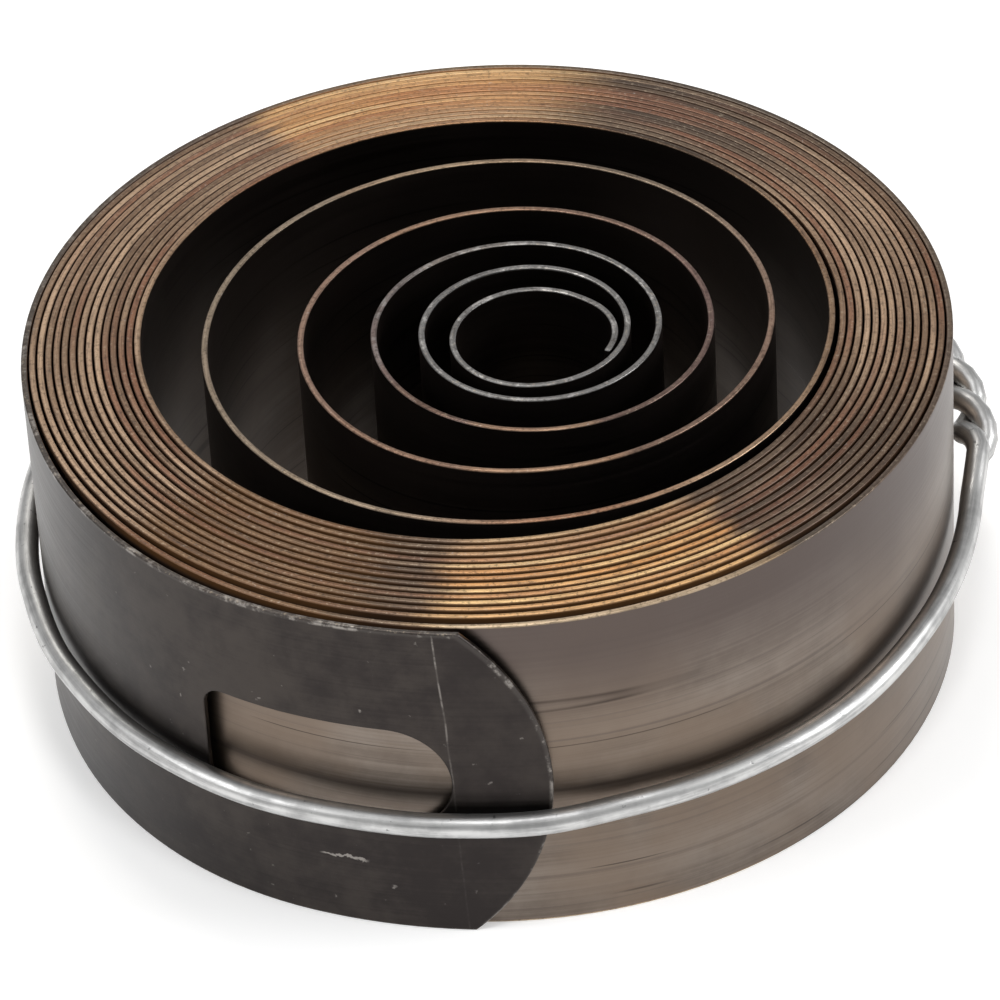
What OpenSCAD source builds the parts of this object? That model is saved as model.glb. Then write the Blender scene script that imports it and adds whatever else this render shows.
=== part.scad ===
// Clock mainspring: a flat steel strip wound in a spiral, held closed by a twisted binding wire.
// The spiral is a chain of tangent arcs round moving centres, four to a turn. The origin is the
// centre of the eye, at the lower edge of the strip, with +Z up along the arbor.

/* [Strip] */
// Thickness of the steel strip
strip_t = 0.42; // [0.3:0.01:0.5]
// Width of the strip, which is the height of the coil
strip_w = 25; // [16:0.5:30]

/* [Eye] */
// Diameter of the arbor that the eye goes on
arbor_d = 10; // [8:0.1:12]
// Clearance between the arbor and the inner wall of the eye
arbor_gap = 0.1; // [0.05:0.01:0.3]
// Width of the hole for the arbor's hook, along the strip
hook_hole_w = 3.5; // [2:0.1:4]
// Height of the hole for the arbor's hook
hook_hole_h = 8; // [6:0.1:10]
// Distance from the inner end of the strip to the middle of that hole
hook_hole_at = 7.9; // [6:0.1:10]

/* [Coil] */
// Number of full close-wound turns outside the loose ones
packed_turns = 13; // [8:1:16]
// Gap between close-wound turns at the front of the coil
front_gap = 0.2; // [0.1:0.01:0.3]
// Gap between close-wound turns at the back of the coil
back_gap = 0.04; // [0.03:0.01:0.1]

/* [Outer end] */
// How far the rounded end stands out beyond its two corners
tip_crown = 5.5; // [3:0.1:8]
// Length of the slot for the hook of the frame or barrel
slot_l = 16.9; // [12:0.1:18]
// Height of that slot
slot_h = 8.4; // [6:0.1:12]
// Radius of the two corners at the far end of the slot
slot_corner = 1.2; // [0.5:0.1:2]
// Steel left between the slot and the rounded end
slot_land = 6.5; // [5:0.1:9]

/* [Binding wire] */
// Diameter of the iron wire
wire_d = 1.6; // [1:0.1:2]
// Height of the middle of the wire ring, on the axis of the coil
wire_z = 10.8; // [7:0.1:16]
// Angle by which the ring rises to the right
rise_right = 1.1; // [0:0.1:2]
// Angle by which the ring rises to the back
rise_back = 1.4; // [0:0.1:2]
// Length over which a strand goes once round in the twist
twist_pitch = 8; // [7:0.5:12]
// Gap between the two strands of the twist
strand_gap = 0.46; // [0.44:0.01:0.6]
// Where the twist starts, as an angle round the coil
twist_from = 1.5; // [0:0.5:5]
// Where the twist ends, as an angle round the coil
twist_to = 29; // [24:0.5:34]

/* [Hidden] */
$fn = 120;

// how far a cut reaches past the faces of the strip
cut_margin = 0.02;
// radius of the middle of the strip round the eye
eye_r = arbor_d / 2 + arbor_gap + strip_t / 2;
// inner end, from its tip through its bend to the eye: radius beyond that of the eye, and angle
hook = [[0.5, 8], [-1, 68], [3.2, 12]];
// angle of the strip's normal where the eye's own circle starts, and the angle it covers
eye_from = 58;
eye_sweep = 212;
// loose turns: radius of each quarter turn beyond that of the eye
loose = [1.1, 1.4, 1.75, 2.35, 2.9, 4.05, 4.4, 5.75, 6.2, 7.95, 8.9, 9.55, 11.4, 12.8, 14.55, 14.85, 16.5,
    17.85, 18, 18.25, 18.3];
// radius of the first close-wound quarter beyond that of the eye
packed_from = 18.45;
// slack that makes the last two close-wound turns bulge at the front
slack = [0.2, 0.77];
// free end of the strip: radius beyond that of the last quarter, and angle
tongue = [[4.25, 18], [-0.65, 26], [-3.2, 22], [5.45, 26]];

// growth of the radius at the right and left, at the back, and at the front of each turn
side_step = (strip_t + (front_gap + back_gap) / 2) / 4;
back_step = (strip_t + front_gap) / 2 - side_step;
front_step = (strip_t + back_gap) / 2 - side_step;
turn_step = 2 * side_step + back_step + front_step;

// the front half of a turn in three arcs, so that it bulges by 0.59 of the slack
function front_half(r, a) =
    let (mid = r + front_step / 2, ease = front_step * (sqrt(2) - 1) / 2)
    [[r + a - ease, 45], [mid - a * (sqrt(2) - 1), 90], [r + front_step + a + ease, 45]];

// one close-wound turn from its radius at the right
function turn(r, a) =
    let (left = r + back_step + side_step)
    concat([[r, 90], [r + back_step, 90]],
        a > 0 ? front_half(left, a) : [[left, 90], [left + front_step, 90]]);

function slack_of(i) = i < packed_turns - len(slack) ? 0 : slack[i - packed_turns + len(slack)];

// radius and angle of every arc, from the inner end to the outer end
last_r = eye_r + packed_from + packed_turns * turn_step + back_step;
arcs = concat(
    [for (h = hook) [eye_r + h[0], h[1]]],
    [[eye_r, eye_sweep]],
    [for (r = loose) [eye_r + r, 90]],
    [for (i = [0:packed_turns - 1]) each turn(eye_r + packed_from + i * turn_step, slack_of(i))],
    [[last_r - back_step, 90], [last_r, 90]],
    [for (t = tongue) [last_r + t[0], t[1]]]);

function dir(a) = [cos(a), sin(a)];
function thou(x) = round(x * 1000) / 1000;

// centre, radius, first angle and angle covered of each arc, each tangent to the one before
function walk(i, a, c) = i == len(arcs) ? [] :
    let (r = thou(arcs[i][0]),
         s = arcs[i][1],
         next = i + 1 < len(arcs) ? thou(arcs[i + 1][0]) : r)
    concat([[c, r, a, s]], walk(i + 1, a + s, c - (next - r) * dir(a + s)));

hook_sweep = hook[0][1] + hook[1][1] + hook[2][1];
first_walk = walk(0, eye_from - hook_sweep, [0, 0]);
eye = len(hook);
path = [for (p = first_walk) [p[0] - first_walk[eye][0], p[1], p[2], p[3]]];
tongue_from = len(path) - len(tongue);
coil_c = path[tongue_from - 1][0];
coil_r = last_r + strip_t / 2;

// length of one arc, and a point and normal angle on it at a distance from its start or end
function arc_l(p) = p[1] * p[3] * PI / 180;
function on_arc(p, a) = [p[0] + p[1] * dir(a), a];
function from_start(i, d) = d <= arc_l(path[i]) ? on_arc(path[i], path[i][2] + d / path[i][1] * 180 / PI)
    : from_start(i + 1, d - arc_l(path[i]));
function from_end(i, d) =
    d <= arc_l(path[i]) ? on_arc(path[i], path[i][2] + path[i][3] - d / path[i][1] * 180 / PI)
    : from_end(i - 1, d - arc_l(path[i]));

// moves to a point in two steps, to the nearest micron and then by what is left
module to_point(c) {
    near = [thou(c[0]), thou(c[1])];
    translate(near)
        translate(c - near)
            children();
}

// a run of arcs of the strip, and the same run a little thicker, which reaches no other turn
module run(from, to, extra = 0)
    for (p = [for (i = [from:to]) path[i]])
        to_point(p[0])
            translate([0, 0, -extra])
                rotate_extrude(angle = p[3], start = p[2] % 360)
                    translate([p[1] - strip_t / 2 - extra, 0])
                        square([strip_t + 2 * extra, strip_w + 2 * extra]);

// a flat shape pushed straight through the strip at a place on it, x along the strip
module through(place, depth)
    translate([place[0][0], place[0][1], strip_w / 2])
        rotate([0, 0, place[1]])
            rotate([90, 0, 90])
                translate([0, 0, -depth / 2])
                    linear_extrude(depth)
                        children();

// hole for the arbor's hook, with round ends
module hook_hole() {
    straight = hook_hole_h - hook_hole_w;
    square([hook_hole_w, straight], center = true);
    for (side = [-1, 1])
        translate([0, side * straight / 2])
            circle(d = hook_hole_w);
}

// slot of the outer end, round towards the tip and squarer at its far end
module hook_slot() {
    round_x = slot_l / 2 - slot_h / 2;
    far_x = -slot_l / 2;
    translate([round_x, 0])
        circle(d = slot_h);
    translate([far_x + slot_corner, -slot_h / 2])
        square([round_x - far_x - slot_corner, slot_h]);
    translate([far_x, slot_corner - slot_h / 2])
        square([slot_corner, slot_h - 2 * slot_corner]);
    for (side = [-1, 1])
        translate([far_x + slot_corner, side * (slot_h / 2 - slot_corner)])
            circle(r = slot_corner);
}

// what is cut off beyond the rounded tip
module beyond_tip() {
    tip_r = (tip_crown ^ 2 + strip_w ^ 2 / 4) / (2 * tip_crown);
    difference() {
        translate([-tip_crown - 1, -strip_w / 2 - 1])
            square([tip_crown + 2, strip_w + 2]);
        translate([-tip_r, 0])
            circle(r = tip_r, $fn = 240);
    }
}

module mainspring() color([0.42, 0.37, 0.33])
    difference() {
        run(0, len(path) - 1);
        intersection() {
            through(from_start(0, hook_hole_at), 4)
                hook_hole();
            run(0, eye, cut_margin);
        }
        intersection() {
            union() {
                through(from_end(len(path) - 1, slot_land + slot_l / 2), 8)
                    hook_slot();
                through(from_end(len(path) - 1, 0), 8)
                    beyond_tip();
            }
            run(tongue_from, len(path) - 1, cut_margin);
        }
    }

// clearance between the wire and the close-wound coil, by angle round the coil
stand_off = [[0, 0.25], [5, 0.1], [13, 0.3], [20, 0.25], [30, 0.15], [120, 0.15], [150, 0.12], [175, 0.12],
    [191, 0.22], [206, 0.55], [225, 0.85], [238, 0.95], [252, 0.8], [262, 0.9], [272, 1], [284, 0.5],
    [298, 0.25], [312, 0.2], [330, 0.1], [345, 0.15], [360, 0.25]];
// how far the ring sags below its plane, by the same angle
sag = [[0, 0], [272, 0], [284, 0.12], [298, 0.4], [312, 0.5], [330, 0.28], [345, 0.12], [360, 0]];
// angles over which a strand leaves the twist and starts turning
leave = 9;
settle = 3;
// angle ahead of the twist where its axis starts to move out from the coil, and angle that takes
move_lead = 3.5;
move_out = 6;
// how far the twist rides above the ring
twist_rise = 0.4;

function smooth(x) = let (t = min(1, max(0, x))) t * t * (3 - 2 * t);
// value at an angle from a list of angles and values
function eased(list, a, i = 0) = a > list[i + 1][0] ? eased(list, a, i + 1)
    : let (p = list[i], q = list[i + 1]) p[1] + (q[1] - p[1]) * smooth((a - p[0]) / (q[0] - p[0]));

// the wire runs from its first cut end through the twist, once round the coil and through again
wire_r = wire_d / 2;
strand_off = wire_r + strand_gap / 2;
twist_turn = twist_pitch / (coil_r + wire_r + strand_off) * 180 / PI;
function around(t) = t < 180 ? t : t - 360;
// 1 in the twist and 0 on the ring, for the spread of the strands and for the place of their axis
function spread(t) = t < 180 ? smooth((twist_to + leave - t) / leave)
    : smooth((t - 360 - twist_from + leave) / leave);
function away(t) = spread(t) * smooth((around(t) - twist_from + move_lead) / move_out);
// angle turned in the twist, starting and stopping evenly
function slow(x) = let (u = min(max(0, x), settle)) u - u * u / (2 * settle);
function turned(a) = min(max(a, twist_from), twist_to) - twist_from + slow(a - twist_to) - slow(twist_from - a);
function phase(t) = (t < 180 ? -90 : 90) + 360 / twist_turn * turned(around(t));

function wire_at(t) =
    let (a = t % 360,
         r = coil_r + wire_r + eased(stand_off, a) + away(t) * strand_off,
         axis = coil_c + r * dir(a),
         level = wire_z + axis[0] * tan(rise_right) + axis[1] * tan(rise_back),
         z = level - eased(sag, a) + spread(t) * twist_rise,
         side = axis + spread(t) * strand_off * cos(phase(t)) * dir(a))
    [side[0], side[1], z + spread(t) * strand_off * sin(phase(t))];

function steps(from, to, count) = [for (i = [1:count]) from + (to - from) * i / count];
strand_steps = concat([twist_from], steps(twist_from, twist_to, 28));
ring_from = twist_to + leave;
ring_to = 360 + twist_from - leave;
wire_steps = concat(
    strand_steps,
    steps(twist_to, ring_from, 6),
    steps(ring_from, ring_to, 78),
    steps(ring_to, 360 + twist_from, 6),
    steps(360 + twist_from, 360 + twist_to, 28));
wire_points = [for (t = wire_steps) wire_at(t)];

// round tube along a row of points that never runs straight up
module tube(points, r, sides) {
    last = len(points) - 1;
    function heading(i) = let (d = points[min(i + 1, last)] - points[max(i - 1, 0)]) d / norm(d);
    function out(i) = let (n = cross(heading(i), [0, 0, 1])) n / norm(n);
    rings = [for (i = [0:last], j = [0:sides - 1])
        let (n = out(i), b = cross(n, heading(i)), a = 360 * j / sides)
        points[i] + r * (cos(a) * n + sin(a) * b)];
    walls = [for (i = [0:last - 1], j = [0:sides - 1])
        let (k = (j + 1) % sides, p = i * sides, q = p + sides)
        each [[p + j, q + j, q + k], [p + j, q + k, p + k]]];
    caps = [for (j = [1:sides - 2])
        each [[0, j, j + 1], [last * sides, last * sides + j + 1, last * sides + j]]];
    polyhedron(rings, concat(walls, caps));
}

module retaining_wire() color("silver")
    tube(wire_points, wire_r, 10);

// least gap between neighbouring turns, along the normal
function point(i, a) = path[i][0] + path[i][1] * dir(a);
function turn_gaps() = [for (i = [0:len(path) - 1], j = [i + 1:min(i + 9, len(path) - 1)], s = [0:0.25:1])
    let (a = path[i][2] + s * path[i][3], b = a + 360 - path[j][2])
    if (b >= 0 && b <= path[j][3]) (point(j, a + 360) - point(i, a)) * dir(a) - strip_t];
echo("least gap between turns", min(turn_gaps()));
// least gap between the two strands, and between the wire and the coil
first_strand = [for (t = strand_steps) wire_at(t)];
last_strand = [for (t = strand_steps) wire_at(360 + t)];
echo("least gap between strands", min([for (p = first_strand, q = last_strand) norm(p - q)]) - wire_d);
function reach(a) = max([for (i = [tongue_from - 6:len(path) - 1])
    let (p = path[i], b = a - p[2], c = b - 360 * floor(b / 360))
    if (c <= p[3]) (p[0] - coil_c) * dir(a) + p[1] + strip_t / 2]);
echo("least gap from wire to coil", min([for (p = wire_points)
    let (v = [p[0], p[1]] - coil_c) norm(v) - wire_r - reach(atan2(v[1], v[0]))]));
echo("length of the strip", arc_l([0, 1, 0, 1]) * [for (p = path) p[1]] * [for (p = path) p[3]]);
echo("hook hole", from_start(0, hook_hole_at), "slot", from_end(len(path) - 1, slot_land + slot_l / 2));

mainspring();
retaining_wire();
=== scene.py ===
# Clock mainspring held closed by a twisted wire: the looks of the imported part, in metres.
import math
from types import SimpleNamespace

import bmesh
import bpy
import numpy as np
from mathutils import Matrix, Vector


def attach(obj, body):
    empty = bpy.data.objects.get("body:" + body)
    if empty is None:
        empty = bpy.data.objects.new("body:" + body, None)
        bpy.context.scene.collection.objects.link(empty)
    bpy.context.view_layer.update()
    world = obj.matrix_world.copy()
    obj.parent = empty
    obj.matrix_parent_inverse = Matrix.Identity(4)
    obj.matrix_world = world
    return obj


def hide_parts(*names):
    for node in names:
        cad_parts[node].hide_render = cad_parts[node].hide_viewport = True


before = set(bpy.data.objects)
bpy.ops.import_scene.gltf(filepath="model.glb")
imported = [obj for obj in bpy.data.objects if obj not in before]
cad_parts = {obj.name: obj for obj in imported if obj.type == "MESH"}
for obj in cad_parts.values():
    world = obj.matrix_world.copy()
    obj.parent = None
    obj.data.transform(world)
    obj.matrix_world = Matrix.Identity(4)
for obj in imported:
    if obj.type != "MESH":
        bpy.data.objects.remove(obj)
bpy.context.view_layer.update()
print("frame loaded")

mm = 0.001
scene = bpy.context.scene

# camera at the angle of the photograph, with the plain floor and soft lamps
view = {
    "place": (-0.002775, -0.347445, 0.285615),
    "lookDown": 38.30,
    "roll": -3.36,
    "lens": 234.88,
    "sensor": 36.0,
    "clip": (0.01, 20.0),
}
studio = {
    "floorSize": 6.0,
    "floorColour": (0.92, 0.92, 0.92, 1),
    "floorRough": 0.9,
    "floorShine": 0.1,
    "floorLift": 0.27,  # light of its own, seen only by the camera and in reflections
    "skyColour": (1.0, 1.0, 1.0, 1),
    "skyStrength": 0.46,
    "lampAim": (0, 0, 0.015),
    # name, place, size, power in watts, colour
    "lamps": [
        ("backLamp", (-0.12, 0.42, 0.78), 0.30, 1.75, (1.0, 0.96, 0.90)),
        ("leftLamp", (-0.65, -0.25, 0.55), 0.40, 1.9, (1.0, 1.0, 1.0)),
        ("rightLamp", (0.70, -0.10, 0.40), 0.36, 2.9, (1.0, 1.0, 1.0)),
        ("topLamp", (0.03, -0.20, 0.62), 0.14, 0.8, (1.0, 1.0, 1.0)),
    ],
}


def placeCamera():
    lens = bpy.data.cameras.new("camera")
    lens.lens = view["lens"]
    lens.sensor_width = view["sensor"]
    lens.clip_start, lens.clip_end = view["clip"]
    camera = bpy.data.objects.new("camera", lens)
    scene.collection.objects.link(camera)
    camera.rotation_mode = "ZYX"
    camera.location = view["place"]
    camera.rotation_euler = (math.radians(90 - view["lookDown"]), 0, math.radians(view["roll"]))
    scene.camera = camera


# nodes: inputs are values or sockets, by name or by number
def addNode(tree, kind, inputs=None, **settings):
    made = tree.nodes.new(kind)
    for name, value in settings.items():
        setattr(made, name, value)
    for name, value in (inputs or {}).items():
        if isinstance(value, bpy.types.NodeSocket):
            tree.links.new(value, made.inputs[name])
        else:
            made.inputs[name].default_value = value
    return made


def maths(tree, operation, *values):
    return addNode(tree, "ShaderNodeMath", dict(enumerate(values)), operation=operation).outputs[0]


def times(tree, first, *others):
    for other in others:
        first = maths(tree, "MULTIPLY", first, other)
    return first


def plus(tree, first, *others):
    for other in others:
        first = maths(tree, "ADD", first, other)
    return first


def minus(tree, first, second):
    return maths(tree, "SUBTRACT", first, second)


def larger(tree, first, second):
    return maths(tree, "MAXIMUM", first, second)


def weighed(tree, values, weights):
    # the sum of the values, each times its weight
    return plus(tree, *[times(tree, value, weight) for value, weight in zip(values, weights)])


def wobble(tree, value, reach):
    # a noise made a shift to either side
    return times(tree, minus(tree, value, 0.5), reach)


def ramp(tree, value, low, high, first=0.0, second=1.0):
    made = addNode(tree, "ShaderNodeMapRange", {0: value, 1: low, 2: high, 3: first, 4: second},
                   interpolation_type="SMOOTHSTEP")
    return made.outputs[0]


def between(tree, value, low, high, softLow, softHigh):
    rising = ramp(tree, value, low - softLow, low + softLow)
    falling = ramp(tree, value, high - softHigh, high + softHigh, 1.0, 0.0)
    return times(tree, rising, falling)


def thinLine(tree, offset, near, far, strength):
    # full within near of nought on either side, and gone at far
    return ramp(tree, maths(tree, "ABSOLUTE", offset), near, far, strength, 0.0)


def mixColour(tree, share, first, second):
    return addNode(tree, "ShaderNodeMix", {0: share, 6: first, 7: second}, data_type="RGBA").outputs[2]


def noise(tree, vector, scale, detail, roughness):
    return addNode(tree, "ShaderNodeTexNoise", {"Vector": vector, "Scale": scale, "Detail": detail,
                   "Roughness": roughness}).outputs["Fac"]


def lapNoise(tree, along, scale, detail, roughness):
    # changes along the strip alone, so it is the same right across an edge
    return addNode(tree, "ShaderNodeTexNoise", {"W": times(tree, along, scale), "Scale": 1.0,
                   "Detail": detail, "Roughness": roughness}, noise_dimensions="1D").outputs["Fac"]


def addBump(tree, shader, height, strength, distance):
    bump = addNode(tree, "ShaderNodeBump", {"Strength": strength, "Distance": distance, "Height": height})
    tree.links.new(bump.outputs[0], shader.inputs["Normal"])


def tint(red, green, blue):
    # a screen colour from 0 to 255, made linear
    def linear(byte):
        part = byte / 255
        return part / 12.92 if part <= 0.04045 else ((part + 0.055) / 1.055) ** 2.4
    return (linear(red), linear(green), linear(blue), 1)


def newMaterial(name):
    material = bpy.data.materials.new(name)
    material.use_nodes = True
    tree = material.node_tree
    return material, tree, tree.nodes["Principled BSDF"]


def newPiece(name, bm):
    mesh = bpy.data.meshes.new(name)
    bm.to_mesh(mesh)
    bm.free()
    piece = bpy.data.objects.new(name, mesh)
    scene.collection.objects.link(piece)
    return piece


def layFloor():
    bm = bmesh.new()
    bmesh.ops.create_grid(bm, x_segments=1, y_segments=1, size=studio["floorSize"] / 2)
    floor = newPiece("floor", bm)
    material, tree, shader = newMaterial("floorPaper")
    shader.inputs["Base Color"].default_value = studio["floorColour"]
    shader.inputs["Roughness"].default_value = studio["floorRough"]
    shader.inputs["Specular IOR Level"].default_value = studio["floorShine"]
    path = addNode(tree, "ShaderNodeLightPath")
    seen = larger(tree, path.outputs["Is Camera Ray"], path.outputs["Is Glossy Ray"])
    seen = larger(tree, seen, path.outputs["Is Transmission Ray"])
    shader.inputs["Emission Color"].default_value = (1, 1, 1, 1)
    tree.links.new(times(tree, seen, studio["floorLift"]), shader.inputs["Emission Strength"])
    floor.data.materials.append(material)


def hangLamps():
    world = bpy.data.worlds.new("studio")
    scene.world = world
    world.use_nodes = True
    sky = world.node_tree.nodes["Background"]
    sky.inputs["Color"].default_value = studio["skyColour"]
    sky.inputs["Strength"].default_value = studio["skyStrength"]
    for name, place, size, power, colour in studio["lamps"]:
        lamp = bpy.data.lights.new(name, "AREA")
        lamp.shape = "DISK"
        lamp.size = size
        lamp.energy = power
        lamp.color = colour
        holder = bpy.data.objects.new(name, lamp)
        scene.collection.objects.link(holder)
        holder.location = place
        aim = Vector(studio["lampAim"]) - Vector(place)
        holder.rotation_mode = "QUATERNION"
        holder.rotation_quaternion = aim.to_track_quat("-Z", "Y")


placeCamera()
layFloor()
hangLamps()
scene.view_settings.view_transform = "Standard"
print("camera, floor and lamps placed")


# shader groups that both metals use
def newGroup(name, takes, gives):
    group = bpy.data.node_groups.new(name, "ShaderNodeTree")
    for label, kind, value in takes:
        made = group.interface.new_socket(label, in_out="INPUT", socket_type=kind)
        if value is not None:
            made.default_value = value
    for label, kind in gives:
        group.interface.new_socket(label, in_out="OUTPUT", socket_type=kind)
    return group, addNode(group, "NodeGroupInput"), addNode(group, "NodeGroupOutput")


def streakGroup(roughness=0.6):
    # lines drawn out along x of the vector, as left by rolling, slitting or drawing
    group, given, result = newGroup(
        "drawnLines",
        [("Vector", "NodeSocketVector", None), ("Along", "NodeSocketFloat", 60.0),
         ("Across", "NodeSocketFloat", 6000.0), ("Detail", "NodeSocketFloat", 4.0)],
        [("Value", "NodeSocketFloat")])
    parts = addNode(group, "ShaderNodeSeparateXYZ", {0: given.outputs["Vector"]})
    stretched = addNode(group, "ShaderNodeCombineXYZ", {
        0: times(group, parts.outputs[0], given.outputs["Along"]),
        1: times(group, parts.outputs[1], given.outputs["Across"]),
        2: times(group, parts.outputs[2], given.outputs["Across"])})
    value = noise(group, stretched.outputs[0], 1.0, given.outputs["Detail"], roughness)
    group.links.new(value, result.inputs["Value"])
    return group


def nickGroup(threshold=0.85, lowered=0.4, gain=14.0, soft=0.1, detail=3.0, roughness=0.55):
    # small scattered spots where a noise passes a threshold, which falls as Amount grows
    group, given, result = newGroup(
        "nicks",
        [("Vector", "NodeSocketVector", None), ("Scale", "NodeSocketFloat", 900.0),
         ("Amount", "NodeSocketFloat", 0.3)],
        [("Mask", "NodeSocketFloat")])
    value = noise(group, given.outputs["Vector"], given.outputs["Scale"], detail, roughness)
    limit = minus(group, threshold, times(group, given.outputs["Amount"], lowered))
    above = larger(group, minus(group, value, limit), 0.0)
    mask = maths(group, "SMOOTH_MIN", 1.0, times(group, above, gain), soft)
    group.links.new(mask, result.inputs["Mask"])
    return group


streaks = streakGroup()
nicks = nickGroup()


def drawnLines(tree, vector, along, across, detail):
    inputs = {"Vector": vector, "Along": along, "Across": across, "Detail": detail}
    return addNode(tree, "ShaderNodeGroup", inputs, node_tree=streaks).outputs[0]


def scattered(tree, vector, scale, amount):
    inputs = {"Vector": vector, "Scale": scale, "Amount": amount}
    return addNode(tree, "ShaderNodeGroup", inputs, node_tree=nicks).outputs[0]


# the strip: a flat blank with its hole, slot and rounded tip, wound on the arcs of the coil.
# Lengths are in mm, angles in degrees, and radii of arcs are given beyond the radius of the eye
strip = {
    "thick": 0.42,
    "wide": 25.0,
    "eyeRadius": 5.31,
    "eyeFrom": 58,
    "eyeSweep": 212,
    "hook": [(0.5, 8), (-1, 68), (3.2, 12)],  # radius and angle covered of each arc
    # one radius for each quarter turn of the open part
    "loose": [1.1, 1.4, 1.75, 2.35, 2.9, 4.05, 4.4, 5.75, 6.2, 7.95, 8.9, 9.55, 11.4, 12.8, 14.55,
              14.85, 16.5, 17.85, 18, 18.25, 18.3],
    "packedFrom": 18.45,
    "packedTurns": 13,
    "frontGap": 0.2,
    "backGap": 0.04,
    "slack": [0.2, 0.77],  # the more, the further each of the last packed turns bulges at the front
    # radius beyond the last turn's, and angle covered
    "tongue": [(4.25, 18), (-0.65, 26), (-3.2, 22), (5.45, 26)],
    "hookHole": (7.9, 3.5, 8.0),  # distance from the inner end, width, height
    "slot": (17.1, 8.4, 1.6, 6.5),  # length, height, radius of its far corners, distance from the tip
    "crown": 5.5,  # how far the rounded tip stands out beyond its corners
    "tipSteps": 28,
    "slotSteps": 28,
    "cornerSteps": 6,
    "holeSteps": 16,
    "edgeRound": 0.12,
    "roundSegments": 3,
    "backRound": 0.4,  # share of the rounding's height that is left at the back
    "dip": 0.1,
    # waves in the heights of the laps: length of one radian, and phase
    "waves": [(13.2, 0), (21.7, 2), (33.1, 4)],
    "columnAngle": 3.0,  # the most that one column of faces covers
    "columnLength": 1.2,
    # lengths at the two ends that hold the hole, and the slot and tip
    "innerEnd": 13.0,
    "outerEnd": 28.0,
}
# distances under which points count as one, and the least angle in radians of an edge that is rounded
touching = 1e-5
merging = 1e-4
sharpAngle = 0.6


def stripArcs():
    # centre, radius, first angle, angle covered and distance from the inner end, in mm and degrees
    t = strip["thick"]
    side = (t + (strip["frontGap"] + strip["backGap"]) / 2) / 4
    back = (t + strip["frontGap"]) / 2 - side
    front = (t + strip["backGap"]) / 2 - side
    turnStep = 2 * side + back + front
    eye = strip["eyeRadius"]
    arcs = [(eye + r, sweep) for r, sweep in strip["hook"]] + [(eye, strip["eyeSweep"])]
    arcs += [(eye + r, 90) for r in strip["loose"]]
    firstSlack = strip["packedTurns"] - len(strip["slack"])
    for i in range(strip["packedTurns"]):
        r = eye + strip["packedFrom"] + i * turnStep
        left = r + back + side
        arcs += [(r, 90), (r + back, 90)]
        if i < firstSlack:
            arcs += [(left, 90), (left + front, 90)]
        else:
            # two short arcs with a tighter one between them make the bulge, and end where the plain two would
            bulge = strip["slack"][i - firstSlack]
            ease = front * (math.sqrt(2) - 1) / 2
            arcs += [(left + bulge - ease, 45), (left + front / 2 - bulge * (math.sqrt(2) - 1), 90),
                     (left + front + bulge + ease, 45)]
    last = eye + strip["packedFrom"] + strip["packedTurns"] * turnStep + back
    arcs += [(last - back, 90), (last, 90)]
    arcs += [(last + r, sweep) for r, sweep in strip["tongue"]]
    angle = strip["eyeFrom"] - sum(sweep for _, sweep in strip["hook"])
    centre = np.zeros(2)
    run = 0.0
    path = []
    for r, sweep in arcs:
        r = round(r, 3)
        if path:
            before = path[-1][2]
            centre = centre - (r - before) * np.array([math.cos(math.radians(angle)),
                                                       math.sin(math.radians(angle))])
        path.append([centre[0], centre[1], r, angle, sweep, run])
        angle += sweep
        run += r * math.radians(sweep)
    path = np.array(path)
    path[:, :2] -= path[len(strip["hook"]), :2]
    return path, run


def outerLap(path):
    # centre and outer radius of the lap that the free end lies on
    x, y, r = path[-len(strip["tongue"]) - 1][:3]
    return x, y, r + strip["thick"] / 2


def spinPoint(bm, start, centre, degrees, steps):
    # an arc of edges in the flat plane, from a vertex round a centre; gives its last vertex
    made = bmesh.ops.spin(bm, geom=[start], cent=(centre[0], 0, centre[1]), axis=(0, -1, 0),
                          angle=math.radians(degrees), steps=steps, use_duplicate=False)
    return [e for e in made["geom_last"] if isinstance(e, bmesh.types.BMVert)][0]


def closeLoop(bm, chain):
    # straight edges between the ends of the arcs and corners in a chain of vertex pairs
    for (_, end), (start, _) in zip(chain, chain[1:] + chain[:1]):
        if (end.co - start.co).length > touching:
            bm.edges.new((end, start))


def corner(bm, x, z):
    made = bm.verts.new((x, 0, z))
    return made, made


def arcFrom(bm, x, z, centre, degrees, steps):
    start = bm.verts.new((x, 0, z))
    return start, spinPoint(bm, start, centre, degrees, steps)


def fillPanel(bm):
    # fills the loops drawn last
    bmesh.ops.remove_doubles(bm, verts=[v for v in bm.verts if not v.link_faces], dist=merging)
    bmesh.ops.triangle_fill(bm, use_beauty=True, use_dissolve=False, normal=(0, -1, 0),
                            edges=[e for e in bm.edges if not e.link_faces])


def drawTongue(bm, length, last):
    wide = strip["wide"]
    middle = wide / 2
    crown = strip["crown"]
    tipRadius = (crown ** 2 + middle ** 2) / (2 * crown)
    tipHalf = math.degrees(math.asin(middle / tipRadius))
    tipCentre = (length - tipRadius, middle)
    closeLoop(bm, [corner(bm, last, 0),
                   arcFrom(bm, length - crown, 0, tipCentre, 2 * tipHalf, strip["tipSteps"]),
                   corner(bm, last, wide)])
    slotLong, slotHigh, slotCorner, land = strip["slot"]
    slotEnd = length - land
    low, high = middle - slotHigh / 2, middle + slotHigh / 2
    far = slotEnd - slotLong + slotCorner
    near = slotEnd - slotHigh / 2
    closeLoop(bm, [arcFrom(bm, near, low, (near, middle), 180, strip["slotSteps"]),
                   arcFrom(bm, far, high, (far, high - slotCorner), 90, strip["cornerSteps"]),
                   arcFrom(bm, far - slotCorner, low + slotCorner, (far, low + slotCorner), 90,
                           strip["cornerSteps"])])
    fillPanel(bm)


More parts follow.
